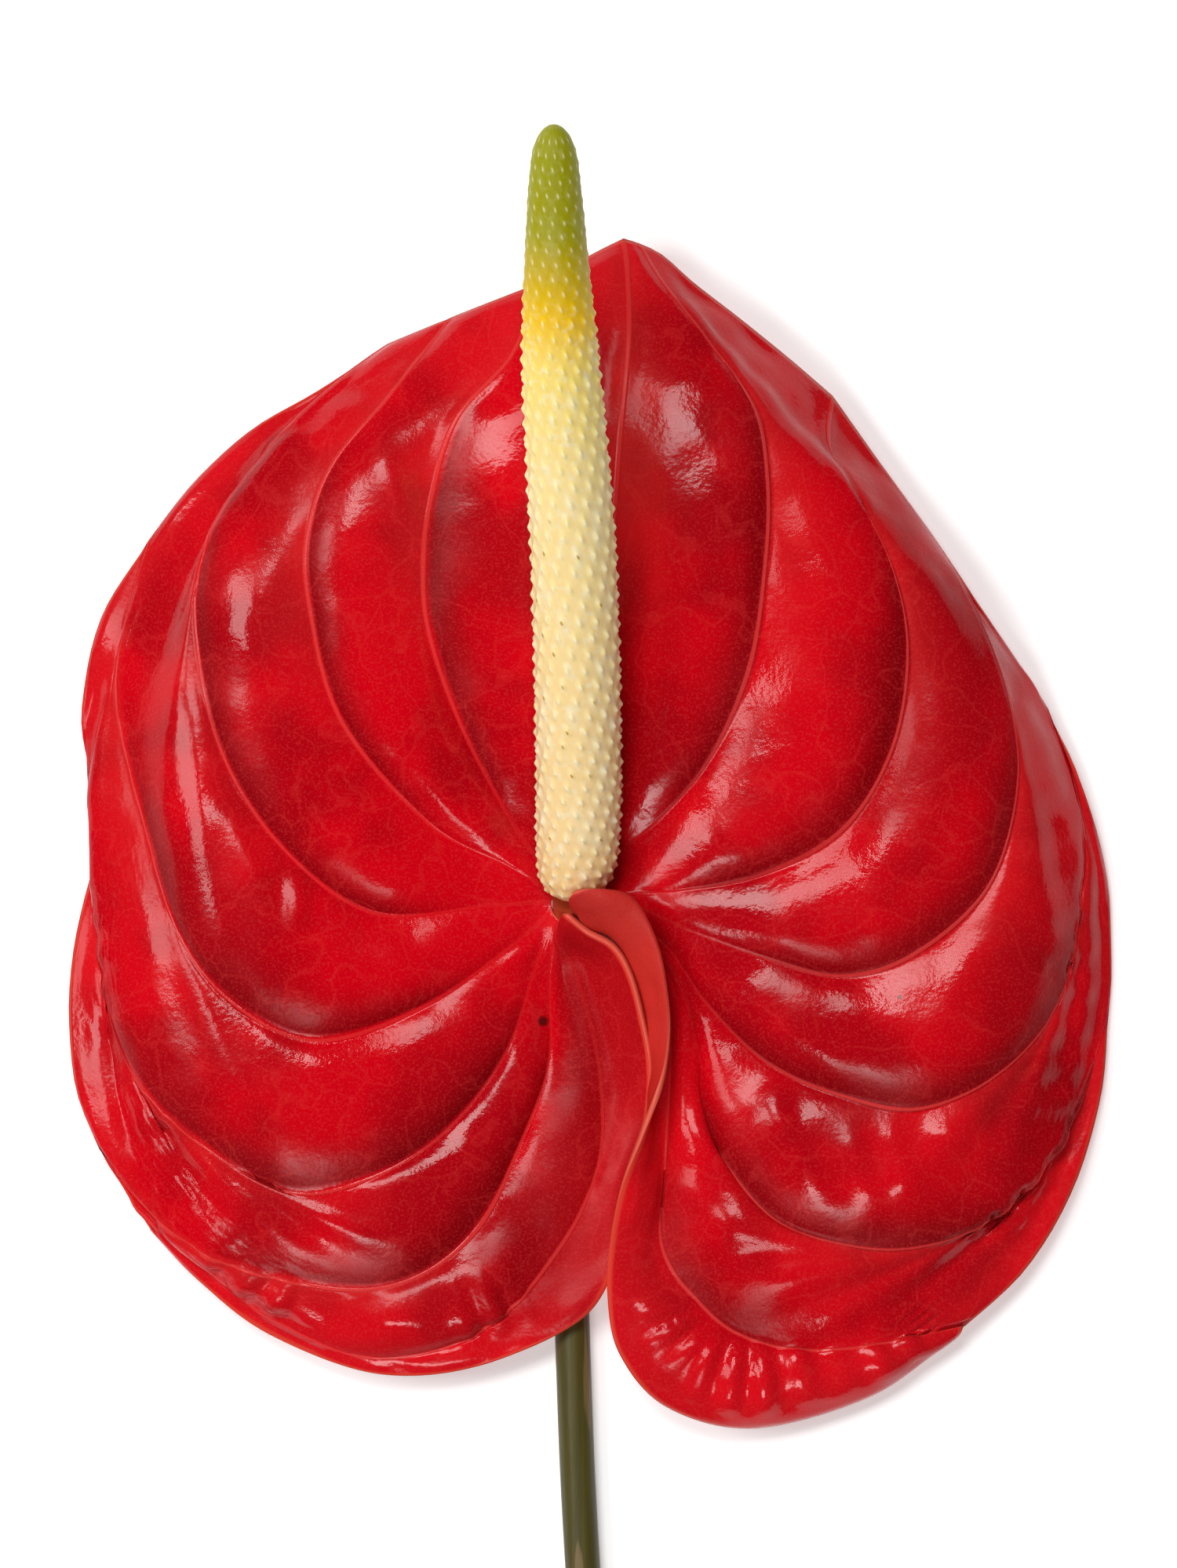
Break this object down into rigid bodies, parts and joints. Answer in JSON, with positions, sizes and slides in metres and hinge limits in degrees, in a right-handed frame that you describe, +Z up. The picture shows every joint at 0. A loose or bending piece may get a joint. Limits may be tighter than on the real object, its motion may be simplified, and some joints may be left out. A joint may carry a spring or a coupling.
{
  "type": "cut anthurium stem",
  "caption": "Cut anthurium lying face up: a heart-shaped, quilted red spathe with rolled lobes, a cream spadix with a green tip, and a slim olive stem.",
  "frame": {"origin": "middle of the flower's outline on the surface that it lies on", "axes": "+Y along the stem towards the spadix's tip, +Z up, the way the spathe faces"},
  "size_m": [0.1334, 0.4371, 0.0517],
  "materials": {
    "stem": "satin olive-green stalk skin",
    "spathe": "waxy gloss red bract",
    "spadix": "matte cream florets, green at the tip"
  },
  "bodies": {
    "root": {"stem": "stem", "spathe": "spathe", "spadix": "spadix"}
  },
  "joints": []
}
